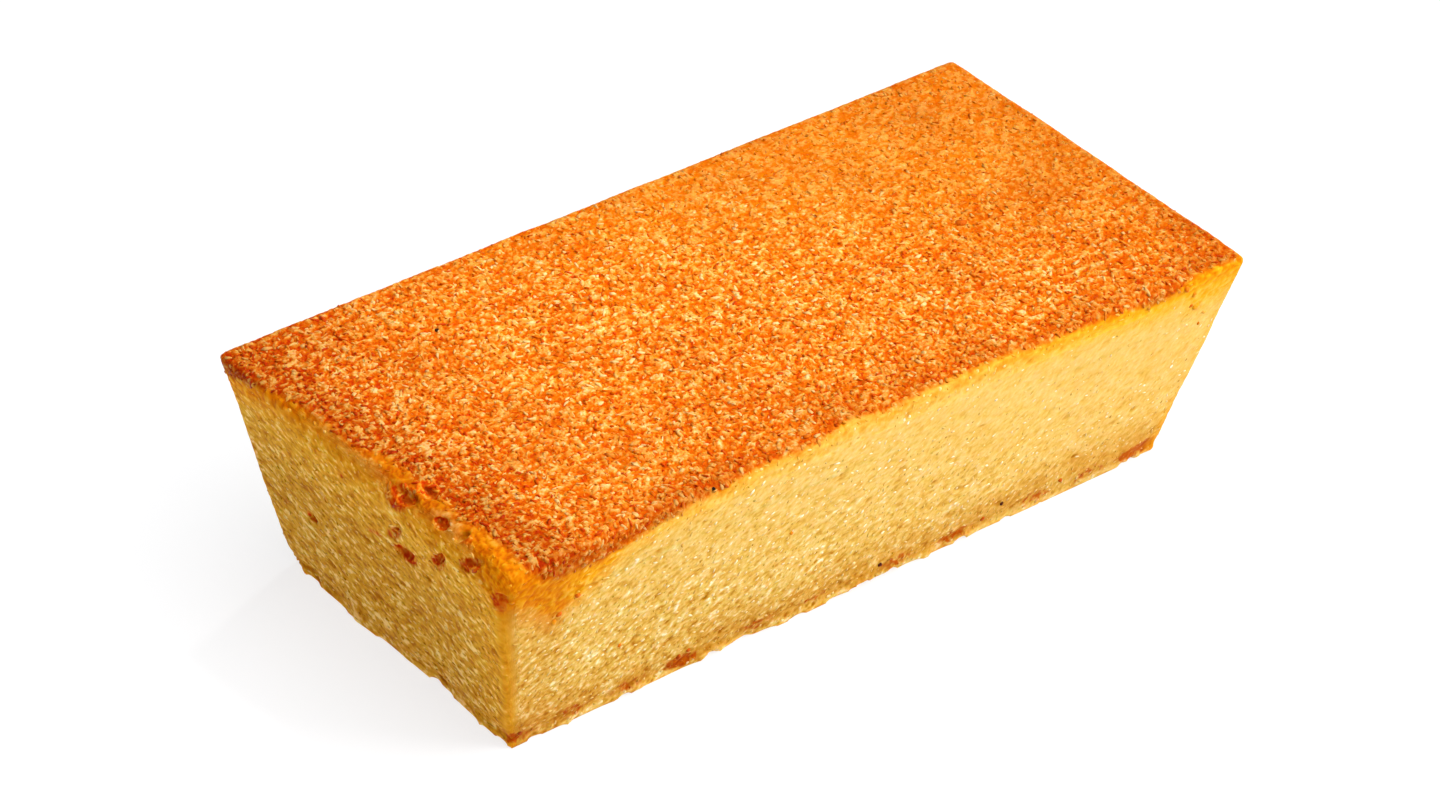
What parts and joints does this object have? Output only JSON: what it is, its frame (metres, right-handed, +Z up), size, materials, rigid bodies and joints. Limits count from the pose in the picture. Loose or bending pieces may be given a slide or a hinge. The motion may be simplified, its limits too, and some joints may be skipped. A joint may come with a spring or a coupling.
{
  "type": "basbousa cake bar",
  "caption": "Bar of syrup-soaked semolina cake: flat browned granular crust on top, yellow crumb sides that lean in to a narrower flat foot.",
  "frame": {"origin": "middle of the flat underside, on the surface that the bar rests on", "axes": "+X along the bar, away from the end with the browned pits; +Y across it; +Z up, out of the crust"},
  "size_m": [0.1002, 0.0484, 0.0263],
  "materials": {
    "semolina_cake": "moist baked crumb, browned to orange on the top"
  },
  "bodies": {
    "root": {"basbousa_slab": "semolina_cake"}
  },
  "joints": []
}
